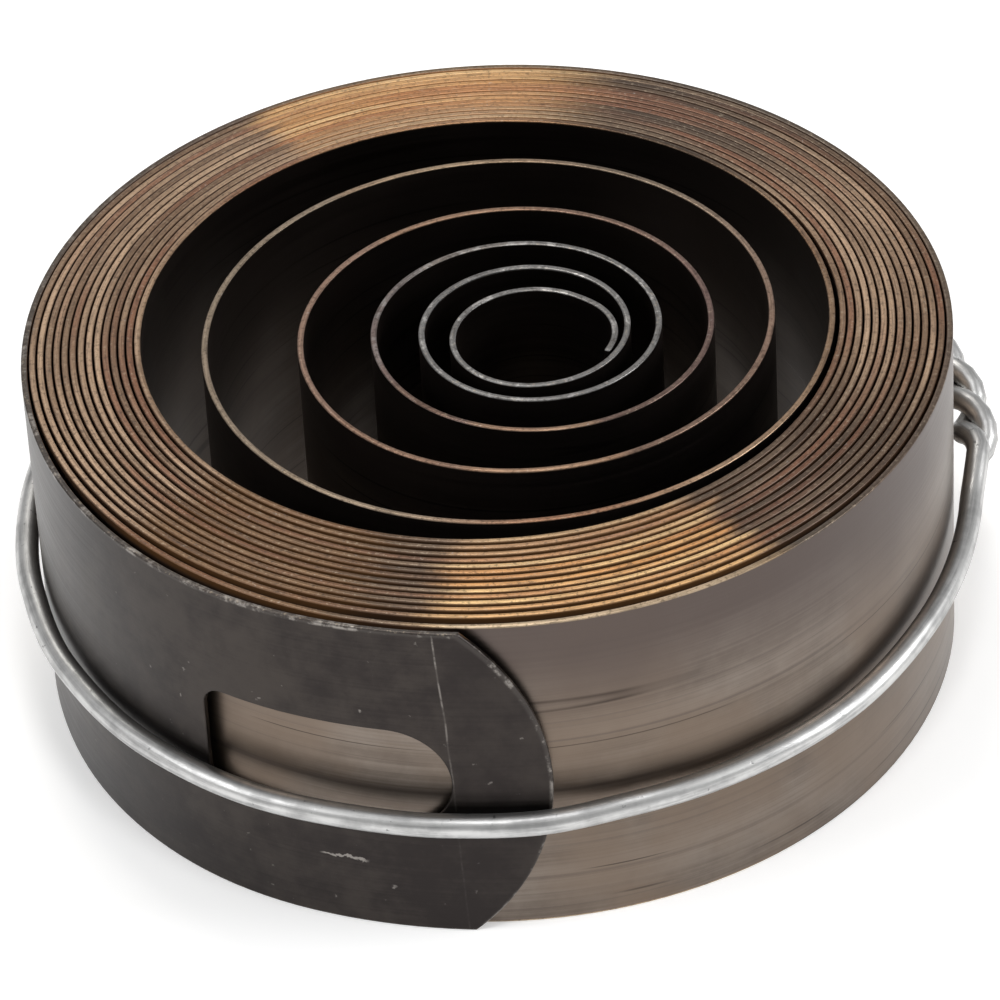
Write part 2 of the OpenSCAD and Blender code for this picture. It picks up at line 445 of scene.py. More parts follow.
def drawInnerEnd(bm, first):
    wide = strip["wide"]
    middle = wide / 2
    closeLoop(bm, [corner(bm, x, z) for x, z in ((0, 0), (first, 0), (first, wide), (0, wide))])
    at, holeWide, holeHigh = strip["hookHole"]
    half = (holeHigh - holeWide) / 2
    steps = strip["holeSteps"]
    closeLoop(bm, [arcFrom(bm, at + holeWide / 2, middle + half, (at, middle + half), 180, steps),
                   arcFrom(bm, at - holeWide / 2, middle - half, (at, middle - half), 180, steps)])
    fillPanel(bm)


def flatBlank(length, first, last):
    # the two ends, with the hole, slot and tip, and one long plain face between them, given their thickness
    bm = bmesh.new()
    wide = strip["wide"]
    drawTongue(bm, length, last)
    drawInnerEnd(bm, first)
    bm.faces.new([corner(bm, x, z)[0] for x, z in ((first, 0), (last, 0), (last, wide), (first, wide))])
    bmesh.ops.remove_doubles(bm, verts=bm.verts[:], dist=merging)
    bmesh.ops.recalc_face_normals(bm, faces=bm.faces[:])
    thick = bmesh.ops.extrude_face_region(bm, geom=bm.faces[:])
    moved = [v for v in thick["geom"] if isinstance(v, bmesh.types.BMVert)]
    bmesh.ops.translate(bm, verts=moved, vec=(0, strip["thick"], 0))
    bmesh.ops.translate(bm, verts=bm.verts[:], vec=(0, -strip["thick"] / 2, 0))
    bmesh.ops.recalc_face_normals(bm, faces=bm.faces[:])
    rims = [e for e in bm.edges if e.calc_face_angle(0) > sharpAngle]
    bmesh.ops.bevel(bm, geom=rims, offset=strip["edgeRound"], offset_type="OFFSET",
                    segments=strip["roundSegments"], profile=0.5, affect="EDGES", clamp_overlap=False,
                    material=-1)
    return bm


def cutColumns(bm, faces, stations):
    # cuts the faces at each station in turn, and goes on with those beyond it
    for x in stations:
        geom = dict.fromkeys(part for f in faces for part in (f, *f.edges, *f.verts))
        cut = bmesh.ops.bisect_plane(bm, geom=list(geom), dist=merging, plane_co=(x, 0, 0),
                                     plane_no=(1, 0, 0))
        faces = [f for f in cut["geom"] if isinstance(f, bmesh.types.BMFace)
                 and f.calc_center_median().x > x]
    return faces


def columnStations(path):
    stations = []
    for _, _, r, _, sweep, run in path:
        length = r * math.radians(sweep)
        count = math.ceil(max(sweep / strip["columnAngle"], length / strip["columnLength"]))
        stations += [run + length * i / count for i in range(count)]
    return np.array(stations[1:])


def divideBlank(bm, stations, first, last):
    # columns at the two ends are cut one by one, and the plain middle, whose edges run nearly all the way,
    # is divided evenly and then spaced
    beyond = cutColumns(bm, bm.faces[:], stations[stations <= first])
    cutColumns(bm, beyond, stations[stations >= last])
    inside = stations[(stations >= first) & (stations <= last)]
    nearlyAll = 0.9
    long = [e for e in bm.edges if e.calc_length() > (last - first) * nearlyAll]
    bmesh.ops.subdivide_edges(bm, edges=long, cuts=len(inside) - 2, use_grid_fill=True)
    even = np.linspace(first, last, len(inside))
    for v in bm.verts:
        if first < v.co.x < last:
            v.co.x = np.interp(v.co.x, even, inside)


def flattenRims(bm, angle):
    # the rounding is shallower at the back, where the laps lie close
    atBack = np.clip(0.5 + 0.75 * np.sin(angle), 0, 1)  # nought at the front and one at the back
    rim = strip["edgeRound"] * 1.01  # a little more than the rounding, so that its last row is in it
    for v, share in zip(bm.verts, 1 - (1 - strip["backRound"]) * atBack):
        top = strip["wide"] - v.co.z
        if 0 < top < rim:
            v.co.z = strip["wide"] - top * share
        elif 0 < v.co.z < rim:
            v.co.z *= share
    bm.normal_update()
    bm.verts.index_update()


def markStrip(bm):
    # the map holds the length along the strip, and the height less the offset through its thickness
    uv = bm.loops.layers.uv.new("strip")
    for face in bm.faces:
        face.smooth = True
        for loop in face.loops:
            x, y, z = loop.vert.co
            loop[uv].uv = (x * mm, (z - y) * mm)


def areaNormals(bm):
    normals = np.zeros((len(bm.verts), 3))
    for face in bm.faces:
        share = np.array(face.normal) * face.calc_area()
        for v in face.verts:
            normals[v.index] += share
    return normals


def windStrip(path, length):
    stations = columnStations(path)
    first = stations[stations > strip["innerEnd"]][0]
    last = stations[stations < length - strip["outerEnd"]][-1]
    bm = flatBlank(length, first, last)
    divideBlank(bm, stations, first, last)
    # the arc that each vertex lies on, and its angle on that arc
    xs = np.array([v.co.x for v in bm.verts])
    arcOf = np.clip(np.searchsorted(path[:, 5], xs, side="right") - 1, 0, len(path) - 1)
    cx, cy, r, start, _, run = path[arcOf].T
    angle = np.radians(start) + (xs - run) / r
    flattenRims(bm, angle)
    markStrip(bm)
    normals = areaNormals(bm)
    flat = np.array([v.co for v in bm.verts])
    out = np.stack([np.cos(angle), np.sin(angle)], axis=1)
    along = np.stack([-out[:, 1], out[:, 0]], axis=1)
    place = np.stack([cx, cy], axis=1) + (r - flat[:, 1])[:, None] * out
    # no lap stands quite as high as the next
    waves = sum(np.sin(flat[:, 0] / period + phase) for period, phase in strip["waves"])
    lowered = strip["dip"] / strip["wide"] * (0.5 + waves / (2 * len(strip["waves"])))
    heights = flat[:, 2] * (1 - lowered)
    for v, (x, y), z in zip(bm.verts, place, heights):
        v.co = (x * mm, y * mm, z * mm)
    turned = np.column_stack([normals[:, :1] * along - normals[:, 1:2] * out, normals[:, 2]])
    turned /= np.linalg.norm(turned, axis=1)[:, None]
    piece = newPiece("springStrip", bm)
    piece.data.normals_split_custom_set_from_vertices(turned)
    return piece


stripPath, stripLength = stripArcs()
coilX, coilY, coilRadius = outerLap(stripPath)
springStrip = windStrip(stripPath, stripLength)
print("strip wound:", len(springStrip.data.polygons), "faces,", round(stripLength, 1), "mm long")

# the finish of the strip. Lengths are in metres and angles in degrees round the coil. A ramp is four
# numbers: from, to and its value at either end, or two, from 0 to 1. An arc is from, to and how soft
# either border is
steel = {
    "wall": tint(131, 121, 112),
    "wallDark": tint(103, 93, 85),
    "wallWarm": tint(123, 108, 95),
    "wallTop": tint(84, 75, 72),
    # the inner faces' darker tone is painted shade inside the coil
    "inside": tint(66, 57, 51),
    # dark thin lines on the wall, and also the painted shade of the wire
    "wallLineAndShade": tint(58, 50, 46),
    "tongue": tint(66, 61, 58),
    "tongueDark": tint(50, 46, 45),
    "scratch": tint(172, 166, 160),
    "edge": tint(186, 156, 128),
    "edgeDark": tint(124, 98, 76),
    "edgeRed": tint(132, 84, 60),
    # gold tones: painted highlights on the top edges
    "goldHighlight": tint(214, 156, 96),
    "goldHighlightPale": tint(238, 198, 140),
    "mauve": tint(140, 116, 102),
    "orange": tint(184, 120, 74),
    "olive": tint(100, 72, 48),
    "olivePale": tint(118, 88, 58),
    "oliveRed": tint(116, 76, 50),
    # dusk tones: painted shade on the top edges
    "duskShade": tint(60, 48, 38),
    "duskShadePale": tint(86, 70, 55),
    # the pale rim is a painted highlight and also the tone of pale dust; the dark rim is painted shade
    "rimHighlightAndDust": tint(186, 170, 148),
    "rimShade": tint(88, 80, 72),
    "silver": tint(128, 127, 126),
    "silverPale": tint(190, 188, 186),
    "plum": tint(118, 96, 90),
    "rose": tint(150, 122, 106),
    "tan": tint(150, 134, 116),
    "soot": tint(46, 34, 26),
    # gap tones: painted shade in the gaps between laps, in warm brown
    "gapShade": tint(80, 58, 42),
    "gapShadeGold": tint(108, 76, 46),
    "gapShadeBack": tint(170, 122, 80),
    # noises over the surface: scale, detail, roughness
    "mottle": (420.0, 5.0, 0.65),
    "cloud": (75.0, 3.0, 0.5),
    "wear": (700.0, 4.0, 0.7),
    "dust": (3600.0, 2.0, 0.6),
    "breaks": (60.0, 2.0, 0.5),
    # noises along the strip: scale, detail, roughness
    "ragged": (70.0, 2.0, 0.5),
    "lap": (14.0, 3.0, 0.6),
    "red": (23.0, 2.0, 0.5),
    # rolled lines: scale along and across the strip, detail
    "lines": (30.0, 5200.0, 4.0),
    "bands": (9.0, 420.0, 4.0),
    "smear": (7.0, 1900.0, 4.0),
    "contour": (3.5, 230.0, 1.0),
    "grain": (420.0, 9000.0, 5.0),
    # small spots: scale, amount
    "specks": (1300.0, 0.36),
    "chips": (2600.0, 0.44),
    # ramps by depth from the nearer rim: the rounded edges, and the brown band beyond them on the faces
    # that are covered, which is painted shade in the gaps between laps
    "edgeDepth": (0.00010, 0.00019, 1.0, 0.0),
    "gapDepth": (0.0003, 0.0010, 1.0, 0.0),
    "inwardStep": (-0.0001, 0.0001),
    # where the inner and the outer faces start to be covered, by distance from the inner end, and where
    # the outermost lap starts, by distance from the outer end
    "innerTouch": (0.514, 0.520),
    "outerTouch": (0.366, 0.376),
    "lastLap": (0.200, 0.204),
    # patches of the top: arc, three tones, strength, tone of the gaps. The gold ones are painted highlights
    # and the dusk ones painted shade, set by angle round the coil
    "patches": [
        ((-141, -107, 5, 5), ("olive", "olivePale", "oliveRed"), 0.9, "gapShadeGold"),
        ((-111, -96, 4, 3), ("duskShade", "duskShadePale", "oliveRed"), 0.7, "gapShade"),
        ((-57, -20, 3, 12), ("duskShade", "duskShadePale", "edgeRed"), 0.85, "gapShade"),
        ((38, 86, 16, 8), ("duskShade", "duskShadePale", "edgeRed"), 0.85, "gapShade"),
        ((-98, -57, 4, 2.5), ("goldHighlight", "goldHighlightPale", "orange"), 1.0, "gapShadeGold"),
        ((76, 120, 10, 2.5), ("goldHighlight", "goldHighlightPale", "orange"), 0.75, "gapShadeBack"),
    ],
    "raggedBy": 11.0,  # degrees by which the borders of the patches differ from lap to lap
    "patchTones": (0.4, 0.62),
    "patchRust": 0.7,
    # how much of the patches shows, by distance from the inner end: none on the silver turns, a part on
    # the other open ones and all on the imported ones
    "patchStart": (0.090, 0.130),
    "patchOpen": (0.300, 0.310, 0.4, 0.1),
    "patchPacked": (0.362, 0.374),
    # the gold highlight is paler on the outer laps and duller on the inner ones
    "goldOuter": (1.9, 2.6, 0.0, 0.55),
    "goldInner": (0.6, 1.5, 0.55, 0.0),
    # the wall: weights of lines, bands and mottle, and how its tones pass into each other
    "wallWeights": (0.3, 0.5, 0.2),
    "wallTones": (0.38, 0.6),
    "warmShare": (0.42, 0.62, 0.0, 0.7),
    "smearShare": (0.52, 0.68, 0.0, 0.4),
    # a darker tone on the inner faces: painted shade inside the coil
    "insideShadeShare": 0.45,
    # its darker upper part, by height, with an uneven border
    "topUneven": 0.008,
    "topShare": (0.0145, 0.0240, 0.0, 0.85),
    # thin lines where the contour noise passes a value, broken here and there
    "contourAt": 0.47,
    "contourWide": (0.0, 0.013, 0.85),
    "contourBreaks": (0.42, 0.54),
    # a soft shade at the upper right of the front
    "shadeHeight": (0.0110, 0.0220),
    "shadeArc": (-62, -26, 14, 12),
    "shadeShare": 0.45,
    # painted shade of the wire: a dark band along the wall above it
    "wireShadeFoot": (0.0085, 0.0100),
    "wireShadeHead": (0.0108, 0.0140, 1.0, 0.0),
    "wireShadeArc": (-44, 8, 12, 6),
    "wireShadeShare": 0.6,
    # the tongue: distances from the outer end over which the lap turns dark, and weights of mottle, cloud
    # and lines
    "dark": (0.094, 0.040),
    "tongueWeights": (0.4, 0.45, 0.15),
    "tongueTones": (0.4, 0.62),
    "speckShare": 0.4,
    # a crease near the tip: distance from the outer end, lean and width. It fades downwards and breaks up
    # with the wear, and the tongue beyond it is painted a little darker, as shade on the bent tip
    "crease": (0.0064, 0.055, 0.00010),
    "creaseWave": 0.0012,
    "creaseShade": (0.0, -0.0006, 0.0, 0.35),
    "creaseUp": (0.006, 0.024, 0.05, 0.45),
    "creaseWear": (0.42, 0.58, 0.25, 1.0),
    # a short scratch under the slot: distance from the outer end, height, half length, half width
    "scar": (0.0140, 0.0056, 0.0015, 0.00007),
    "scarWave": 0.0016,
    "scarEnds": 0.0003,
    "scarShare": 0.6,
    # worn rims: distances inside the tip's arc and the share there, how far the arc reaches, and the top rim
    "tipRim": (0.00035, 0.0001, 0.7),
    "tipReach": (0.006, 0.0065, 1.0, 0.0),
    "topRim": (0.0246, 0.0248, 0.0, 0.8),
    "rimWear": (0.5, 0.64, 0.08, 0.8),
    # the edges: how their tones pass into each other, and colours of the open turns: up to what distance
    # from the inner end, how softly, and which
    "edgeTones": (0.36, 0.64),
    "rustTones": (0.5, 0.66),
    "rustShare": 0.65,
    "turns": [(0.095, 0.030, "silver"), (0.150, 0.020, "plum"), (0.235, 0.030, "rose"),
              (0.325, 0.010, "tan")],
    # the outermost lap's edge: a painted highlight that turns to painted shade, and the angles over which it
    # turns from pale to dark
    "outerRim": (0.200, 0.204, 0.8, 0.0),
    "rimTurnsDark": (-66.0, -54.0),
    # pale worn spots on the silver turns
    "silverWear": (0.52, 0.62),
    "silverTo": (0.090, 0.130, 0.8, 0.0),
    # dirt in the grain, dark and pale dust, bright chips, and painted shade in brown on the sides that face a
    # gap
    "grainShare": (0.3, 0.6, 0.5, 0.0),
    "dustDark": (0.52, 0.7, 0.0, 0.5),
    "dustPale": (0.3, 0.42, 0.3, 0.0),
    "chipShare": 0.3,
    "sinkShadeShare": (0.015, 0.3, 0.0, 0.85),
    # metal taken from the edges and the gaps, roughness of wall and edges and its spread, relief
    "edgeDull": 0.3,
    "gapDull": 0.7,
    "roughWall": 0.35,
    "roughEdge": 0.36,
    "roughSpread": 0.2,
    "reliefWeights": (0.3, 0.7),
    "bump": (0.25, 0.00004),
}


def stripPlaces(tree):
    # where a point lies on the strip and round the coil
    coords = addNode(tree, "ShaderNodeTexCoord")
    flat = addNode(tree, "ShaderNodeUVMap", uv_map="strip").outputs[0]
    along, up, _ = addNode(tree, "ShaderNodeSeparateXYZ", {0: flat}).outputs
    centred = addNode(tree, "ShaderNodeVectorMath", {0: coords.outputs["Object"],
                      1: (coilX * mm, coilY * mm, 0)}, operation="SUBTRACT").outputs[0]
    x, y, height = addNode(tree, "ShaderNodeSeparateXYZ", {0: centred}).outputs
    fromEnd = minus(tree, stripLength * mm, along)
    angle = times(tree, maths(tree, "ARCTAN2", y, x), 180 / math.pi)
    depth = maths(tree, "MINIMUM", height, minus(tree, strip["wide"] * mm, height))
    # the height less the map's second value is above nought on the inner face
    inward = ramp(tree, minus(tree, height, up), *steel["inwardStep"])
    # the faces that another lap covers
    innerGap = times(tree, inward, ramp(tree, along, *steel["innerTouch"]))
    outerGap = times(tree, ramp(tree, along, *steel["outerTouch"]), minus(tree, 1.0, inward),
                     ramp(tree, fromEnd, *steel["lastLap"]))
    covered = larger(tree, innerGap, outerGap)
    level = addNode(tree, "ShaderNodeSeparateXYZ", {0: coords.outputs["Normal"]}).outputs[2]
    return SimpleNamespace(
        object=coords.outputs["Object"], flat=flat, along=along, up=up, fromEnd=fromEnd,
        height=height, angle=angle, inward=inward, covered=covered,
        onEdge=ramp(tree, depth, *steel["edgeDepth"]),
        inGap=times(tree, ramp(tree, depth, *steel["gapDepth"]), covered),
        sink=minus(tree, 1.0, maths(tree, "ABSOLUTE", level)),
        onTongue=ramp(tree, fromEnd, *steel["dark"]))


def stripMarks(tree, at):
    # noises that more than one layer uses
    return SimpleNamespace(
        mottle=noise(tree, at.object, *steel["mottle"]),
        cloud=noise(tree, at.object, *steel["cloud"]),
        wear=noise(tree, at.object, *steel["wear"]),
        lines=drawnLines(tree, at.flat, *steel["lines"]))


def patchShares(tree, at):
    # share of each patch across the laps, borders differing from lap to lap, and the painted shade of the
    # gaps
    ragged = lapNoise(tree, at.along, *steel["ragged"])
    jitter = plus(tree, at.angle, wobble(tree, ragged, steel["raggedBy"]))
    gapShade = steel["gapShade"]
    shares = []
    for arc, _, strength, gap in steel["patches"]:
        share = between(tree, jitter, *arc)
        shares.append(times(tree, share, strength))
        if gap != "gapShade":
            gapShade = mixColour(tree, share, gapShade, steel[gap])
    return shares, gapShade


def wallColour(tree, at, marks):
    # fine rolled lines, broader bands, a darker upper part, thin lines and warm stains, with painted shade
    # at the upper right of the front and above the wire
    bands = drawnLines(tree, at.flat, *steel["bands"])
    tone = weighed(tree, (marks.lines, bands, marks.mottle), steel["wallWeights"])
    wall = mixColour(tree, ramp(tree, tone, *steel["wallTones"]), steel["wallDark"], steel["wall"])
    wall = mixColour(tree, ramp(tree, marks.cloud, *steel["warmShare"]), wall, steel["wallWarm"])
    smear = drawnLines(tree, at.flat, *steel["smear"])
    wall = mixColour(tree, ramp(tree, smear, *steel["smearShare"]), wall, steel["wallTop"])
    uneven = plus(tree, at.height, wobble(tree, marks.cloud, steel["topUneven"]))
    wall = mixColour(tree, ramp(tree, uneven, *steel["topShare"]), wall, steel["wallTop"])
    contour = minus(tree, drawnLines(tree, at.flat, *steel["contour"]), steel["contourAt"])
    thin = thinLine(tree, contour, *steel["contourWide"])
    broken = ramp(tree, noise(tree, at.flat, *steel["breaks"]), *steel["contourBreaks"])
    wall = mixColour(tree, times(tree, thin, broken), wall, steel["wallLineAndShade"])
    shade = times(tree, ramp(tree, uneven, *steel["shadeHeight"]),
                  between(tree, at.angle, *steel["shadeArc"]), steel["shadeShare"])
    wall = mixColour(tree, shade, wall, steel["wallTop"])
    # painted shade of the wire on the wall above it
    wireShade = times(tree, ramp(tree, at.height, *steel["wireShadeFoot"]),
                  ramp(tree, at.height, *steel["wireShadeHead"]),
                  between(tree, at.angle, *steel["wireShadeArc"]), steel["wireShadeShare"])
    return mixColour(tree, wireShade, wall, steel["wallLineAndShade"])


def creaseLines(tree, at, marks):
    # signed distance to the crease, and the crease and the scar as one mask
    creaseAt, lean, creaseWide = steel["crease"]
    leaned = times(tree, minus(tree, at.up, strip["wide"] / 2 * mm), lean)
    offCrease = minus(tree, minus(tree, at.fromEnd, creaseAt), leaned)
    offCrease = plus(tree, offCrease, wobble(tree, marks.cloud, steel["creaseWave"]))
    crease = times(tree, thinLine(tree, offCrease, 0.0, creaseWide, 1.0),
                   ramp(tree, at.up, *steel["creaseUp"]), ramp(tree, marks.wear, *steel["creaseWear"]))
    scarAt, scarUp, scarLong, scarWide = steel["scar"]
    offScar = minus(tree, minus(tree, at.up, scarUp), wobble(tree, marks.wear, steel["scarWave"]))
    scar = times(tree, thinLine(tree, offScar, scarWide, scarWide * 2, steel["scarShare"]),
                 between(tree, at.fromEnd, scarAt - scarLong, scarAt + scarLong,
                         steel["scarEnds"], steel["scarEnds"]))
    return offCrease, larger(tree, crease, scar)


def wornRims(tree, at, marks):
    # rubbed metal along the rounded tip and the upper rim
    tipRadius = (strip["crown"] ** 2 + strip["wide"] ** 2 / 4) / (2 * strip["crown"]) * mm
    outside, inside, share = steel["tipRim"]
    tipX = minus(tree, at.fromEnd, tipRadius)
    tipZ = minus(tree, at.up, strip["wide"] / 2 * mm)
    tipOff = maths(tree, "SQRT", plus(tree, times(tree, tipX, tipX), times(tree, tipZ, tipZ)))
    tipRim = times(tree, ramp(tree, tipOff, tipRadius - outside, tipRadius - inside, 0.0, share),
                   ramp(tree, at.fromEnd, *steel["tipReach"]))
    topRim = ramp(tree, at.height, *steel["topRim"])
    return times(tree, larger(tree, tipRim, topRim), ramp(tree, marks.wear, *steel["rimWear"]))


def tongueColour(tree, at, marks, worn):
    # the outermost lap: dark and mottled, with a few light specks, a crease and worn rims
    blend = weighed(tree, (marks.mottle, marks.cloud, marks.lines), steel["tongueWeights"])
    tongue = mixColour(tree, ramp(tree, blend, *steel["tongueTones"]), steel["tongueDark"], steel["tongue"])
    offCrease, crease = creaseLines(tree, at, marks)
    # painted shade on the tongue beyond the crease
    tongue = mixColour(tree, ramp(tree, offCrease, *steel["creaseShade"]), tongue, steel["tongueDark"])
    specks = times(tree, scattered(tree, at.object, *steel["specks"]), steel["speckShare"])
    return tongue, larger(tree, specks, larger(tree, crease, worn))


def edgeColour(tree, at, marks, shares, worn):
    # each lap its own tone, with patches that cross the laps: gold ones of painted highlight, dusk ones of
    # painted shade, and an olive one
    lap = lapNoise(tree, at.along, *steel["lap"])
    rust = ramp(tree, lapNoise(tree, at.along, *steel["red"]), *steel["rustTones"])
    edge = mixColour(tree, ramp(tree, lap, *steel["edgeTones"]), steel["edgeDark"], steel["edge"])
    edge = mixColour(tree, times(tree, rust, steel["rustShare"]), edge, steel["edgeRed"])
    for start, soft, colour in reversed(steel["turns"]):
        edge = mixColour(tree, ramp(tree, at.along, start, start + soft, 1.0, 0.0), edge, steel[colour])
    reach = larger(tree, ramp(tree, at.along, *steel["patchOpen"]),
                   ramp(tree, at.along, *steel["patchPacked"]))
    reach = times(tree, reach, ramp(tree, at.along, *steel["patchStart"]))
    for share, (_, (first, second, third), _, _) in zip(shares, steel["patches"]):
        stain = mixColour(tree, ramp(tree, lap, *steel["patchTones"]), steel[first], steel[second])
        stain = mixColour(tree, times(tree, rust, steel["patchRust"]), stain, steel[third])
        if first == "goldHighlight":
            stain = mixColour(tree, ramp(tree, at.along, *steel["goldOuter"]), stain, steel["goldHighlightPale"])
            stain = mixColour(tree, ramp(tree, at.along, *steel["goldInner"]), stain, steel["mauve"])
        edge = mixColour(tree, times(tree, share, reach), edge, stain)
    # painted highlight along the outermost lap's edge, turning to painted shade past the given angles
    rim = mixColour(tree, ramp(tree, at.angle, *steel["rimTurnsDark"]), steel["rimHighlightAndDust"], steel["rimShade"])
    edge = mixColour(tree, ramp(tree, at.fromEnd, *steel["outerRim"]), edge, rim)
    pale = times(tree, ramp(tree, marks.wear, *steel["silverWear"]), ramp(tree, at.along, *steel["silverTo"]))
    edge = mixColour(tree, pale, edge, steel["silverPale"])
    edge = mixColour(tree, at.onTongue, edge, mixColour(tree, worn, steel["tongue"], steel["scratch"]))
    # dirt, dust and small bright chips
    grain = drawnLines(tree, at.flat, *steel["grain"])
    edge = mixColour(tree, ramp(tree, grain, *steel["grainShare"]), edge, steel["soot"])
    dust = noise(tree, at.object, *steel["dust"])
    edge = mixColour(tree, ramp(tree, dust, *steel["dustDark"]), edge, steel["soot"])
    edge = mixColour(tree, ramp(tree, dust, *steel["dustPale"]), edge, steel["rimHighlightAndDust"])
    chips = scattered(tree, at.object, *steel["chips"])
    return mixColour(tree, times(tree, chips, steel["chipShare"]), edge, steel["silverPale"])


def springSteel():
    material, tree, shader = newMaterial("springSteel")
    at = stripPlaces(tree)
    marks = stripMarks(tree, at)
    shares, gapShade = patchShares(tree, at)
    worn = wornRims(tree, at, marks)
    tongue, bright = tongueColour(tree, at, marks, worn)
    wall = mixColour(tree, at.onTongue, wallColour(tree, at, marks), tongue)
    wall = mixColour(tree, times(tree, bright, at.onTongue), wall, steel["scratch"])
    # painted shade inside the coil: the inner faces are darker
    wall = mixColour(tree, times(tree, at.inward, steel["insideShadeShare"]), wall, steel["inside"])
    # painted shade in the gaps between the laps
    wall = mixColour(tree, at.inGap, wall, gapShade)
    # painted shade: the sides of the rounded edges turn brown down in the gaps
    edge = edgeColour(tree, at, marks, shares, worn)
    edge = mixColour(tree, times(tree, ramp(tree, at.sink, *steel["sinkShadeShare"]), at.covered), edge, gapShade)
    tree.links.new(mixColour(tree, at.onEdge, wall, edge), shader.inputs["Base Color"])
    metal = maths(tree, "MINIMUM", minus(tree, 1.0, times(tree, at.onEdge, steel["edgeDull"])),
                  minus(tree, 1.0, times(tree, at.inGap, steel["gapDull"])))
    tree.links.new(metal, shader.inputs["Metallic"])
    rough = addNode(tree, "ShaderNodeMix", {0: at.onEdge, 2: steel["roughWall"], 3: steel["roughEdge"]})
    rough = plus(tree, rough.outputs[0], wobble(tree, marks.lines, steel["roughSpread"]),
                 wobble(tree, marks.cloud, steel["roughSpread"]))
    tree.links.new(rough, shader.inputs["Roughness"])
    addBump(tree, shader, weighed(tree, (marks.lines, marks.wear), steel["reliefWeights"]), *steel["bump"])
    return material


springStrip.data.materials.append(springSteel())
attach(springStrip, "spring")
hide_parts("mainspring")
print("strip finished")

# the binding wire: a smooth tube whose two strands touch in the twist. Lengths are in mm, angles in degrees
wire = {
    "thick": 1.6,
    "height": 10.8,  # of its plane at the middle of the eye, and how steeply it rises
    "riseRight": 1.1,
    "riseBack": 1.4,
    # the twist: length of one turn, gap between the strands, and the angles between which they turn
    "pitch": 8.0,
    "strandGap": 0.02,
    "twistFrom": 1.5,
    "twistTo": 29.0,
    "twistRise": 0.4,
    # angles in which a strand leaves the twist, in which its turning settles, and in which it moves out
    # from the coil, starting moveLead before the twist
    "leave": 9.0,
    "settle": 3.0,
    "moveLead": 3.5,
    "moveOut": 6.0,
    # clearance from the coil, and how far the wire sags below its plane, by angle round the coil
    "standOff": [(0, 0.25), (5, 0.1), (13, 0.3), (20, 0.25), (30, 0.15), (120, 0.13), (150, 0.05),
                 (175, 0.05), (191, 0.22), (206, 0.55), (225, 0.85), (238, 0.95), (252, 0.8), (262, 0.9),
                 (272, 1), (284, 0.5), (298, 0.25), (312, 0.2), (330, 0.1), (345, 0.15), (360, 0.25)],
    "sag": [(0, 0), (272, 0), (284, 0.12), (298, 0.4), (312, 0.5), (330, 0.28), (345, 0.12), (360, 0)],
    "sides": 24,
    "step": 0.9,
    "fineAngle": 0.05,
    # the finish: tones, drawn lines, blotches and pits as on the strip, and a ramp of roughness by how
    # dull the surface is
    "colour": tint(206, 206, 205),
    "colourDark": tint(160, 160, 160),
    "pit": tint(80, 80, 82),
    "lines": (160.0, 3600.0, 4.0),
    "blotch": (420.0, 4.0, 0.6),
    "pits": (1700.0, 0.45),
    "dullWeights": (0.5, 0.5),
    "dullTones": (0.4, 0.64),
    "pitShare": 0.7,
    "pitDepth": 0.5,
    "rough": (0.35, 0.65, 0.33, 0.47),
    "bump": (0.25, 0.00004),
}


def smooth(x):
    t = min(1.0, max(0.0, x))
    return t * t * (3 - 2 * t)


def eased(knots, angle):
    for (a, p), (b, q) in zip(knots, knots[1:]):
        if angle <= b:
            return p + (q - p) * smooth((angle - a) / (b - a))
    return knots[-1][1]


def wirePoint(t):
    # t is the angle round the coil, and goes past 360 for the second strand
    radius = wire["thick"] / 2
    strandOff = radius + wire["strandGap"] / 2
    around = t if t < 180 else t - 360
    start, end, leave, settle = wire["twistFrom"], wire["twistTo"], wire["leave"], wire["settle"]
    spread = smooth((end + leave - t) / leave) if t < 180 else smooth((t - 360 - start + leave) / leave)
    away = spread * smooth((around - start + wire["moveLead"]) / wire["moveOut"])

    def slow(x):
        u = min(max(0, x), settle)
        return u - u * u / (2 * settle)

    # the two strands are half a turn of the twist apart
    turned = min(max(around, start), end) - start + slow(around - end) - slow(start - around)
    twistTurn = math.degrees(wire["pitch"] / (coilRadius + radius + strandOff))
    phase = math.radians((-90 if t < 180 else 90) + 360 / twistTurn * turned)
    a = t % 360
    r = coilRadius + radius + eased(wire["standOff"], a) + away * strandOff
    x = coilX + r * math.cos(math.radians(a))
    y = coilY + r * math.sin(math.radians(a))
    z = (wire["height"] + x * math.tan(math.radians(wire["riseRight"]))
         + y * math.tan(math.radians(wire["riseBack"])) - eased(wire["sag"], a)
         + spread * wire["twistRise"])
    side = spread * strandOff * math.cos(phase)
    x += side * math.cos(math.radians(a))
    y += side * math.sin(math.radians(a))
    return Vector((x, y, z + spread * strandOff * math.sin(phase)))


def wirePoints():
    # points an even step apart along the wire
    count = int((360 + wire["twistTo"] - wire["twistFrom"]) / wire["fineAngle"]) + 1
    fine = [wirePoint(wire["twistFrom"] + wire["fineAngle"] * i) for i in range(count)]
    points = [fine[0]]
    run = 0.0
    for p, q in zip(fine, fine[1:]):
        run += (q - p).length
        if run >= wire["step"]:
            points.append(q)
            run = 0.0
    return points


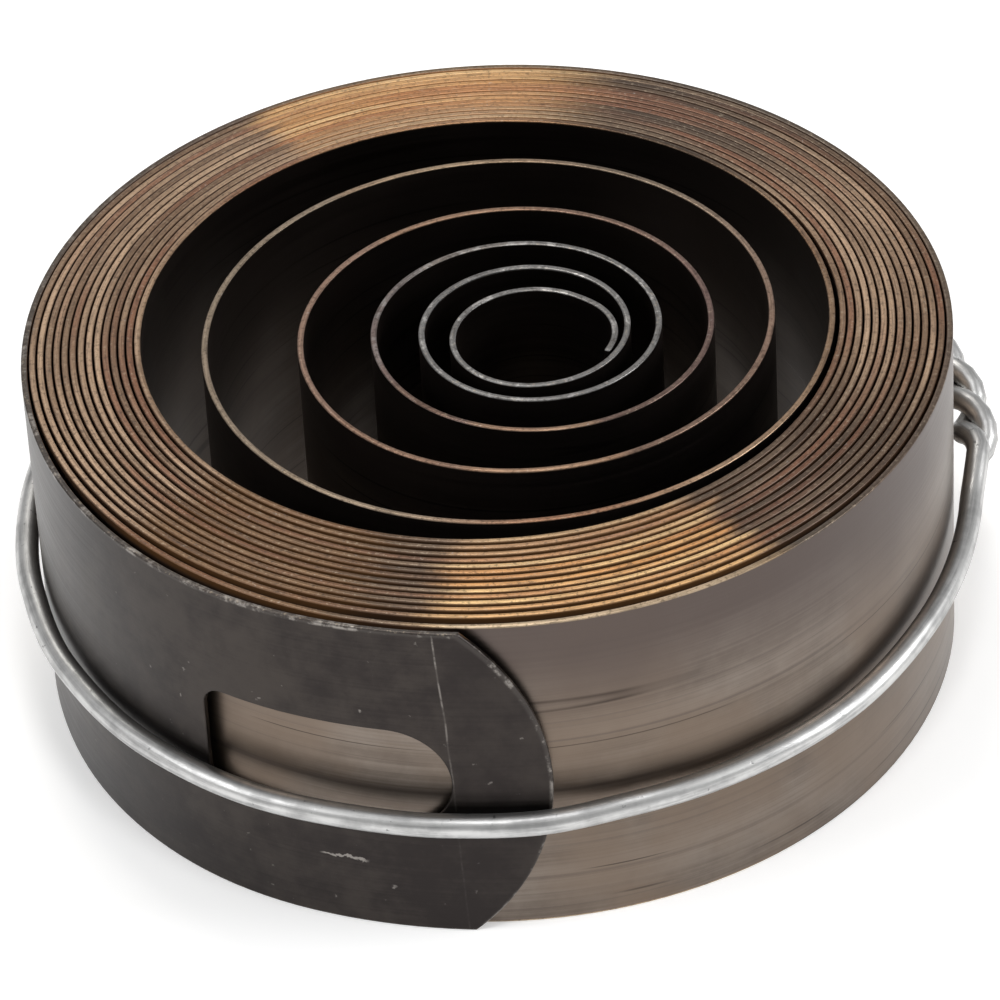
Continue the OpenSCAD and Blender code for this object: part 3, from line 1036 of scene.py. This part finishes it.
def drawWire():
    points = wirePoints()
    bm = bmesh.new()
    made = bmesh.ops.create_circle(bm, segments=wire["sides"], radius=wire["thick"] / 2, cap_ends=True)
    ring = made["verts"]
    uvLayer = bm.loops.layers.uv.new("strip")
    last = len(points) - 1
    up = Vector((0, 0, 1))

    def frameAt(i):
        heading = (points[min(i + 1, last)] - points[max(i - 1, 0)]).normalized()
        out = heading.cross(up).normalized()
        return Matrix((out, out.cross(heading), heading)).transposed(), points[i]

    turn, place = frameAt(0)
    for v in ring:
        v.co = turn @ v.co + place
    edges = list(dict.fromkeys(e for v in ring for e in v.link_edges))
    run = 0.0
    for i in range(1, last + 1):
        grown = bmesh.ops.extrude_edge_only(bm, edges=edges)
        newVerts = [v for v in grown["geom"] if isinstance(v, bmesh.types.BMVert)]
        before = turn
        turn, place = frameAt(i)
        step = turn @ before.inverted()
        for v in newVerts:
            v.co = step @ (v.co - points[i - 1]) + place
        length = (points[i] - points[i - 1]).length
        # the map holds the length along the wire and the way round it
        for face in [f for f in grown["geom"] if isinstance(f, bmesh.types.BMFace)]:
            for loop in face.loops:
                isNew = loop.vert in newVerts
                centre = points[i] if isNew else points[i - 1]
                local = (turn if isNew else before).transposed() @ (loop.vert.co - centre)
                loop[uvLayer].uv = ((run + (length if isNew else 0)) * mm,
                                    math.atan2(local.y, local.x) * wire["thick"] / 2 * mm)
        run += length
        edges = [e for e in grown["geom"] if isinstance(e, bmesh.types.BMEdge)
                 and e.verts[0] in newVerts and e.verts[1] in newVerts]
    bmesh.ops.contextual_create(bm, geom=edges)
    for face in bm.faces:
        face.smooth = len(face.verts) == 4
    bmesh.ops.recalc_face_normals(bm, faces=bm.faces[:])
    bmesh.ops.scale(bm, vec=(mm, mm, mm), verts=bm.verts[:])
    return newPiece("twistedWire", bm)


def galvanisedWire():
    material, tree, shader = newMaterial("galvanisedWire")
    place = addNode(tree, "ShaderNodeTexCoord").outputs["Object"]
    flat = addNode(tree, "ShaderNodeUVMap", uv_map="strip").outputs[0]
    drawn = drawnLines(tree, flat, *wire["lines"])
    dull = weighed(tree, (drawn, noise(tree, place, *wire["blotch"])), wire["dullWeights"])
    colour = mixColour(tree, ramp(tree, dull, *wire["dullTones"]), wire["colour"], wire["colourDark"])
    pits = scattered(tree, place, *wire["pits"])
    colour = mixColour(tree, times(tree, pits, wire["pitShare"]), colour, wire["pit"])
    tree.links.new(colour, shader.inputs["Base Color"])
    shader.inputs["Metallic"].default_value = 1.0
    tree.links.new(ramp(tree, dull, *wire["rough"]), shader.inputs["Roughness"])
    addBump(tree, shader, minus(tree, dull, times(tree, pits, wire["pitDepth"])), *wire["bump"])
    return material


twistedWire = drawWire()
twistedWire.data.materials.append(galvanisedWire())
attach(twistedWire, "wire")
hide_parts("retaining_wire")
print("wire drawn:", len(twistedWire.data.polygons), "faces")
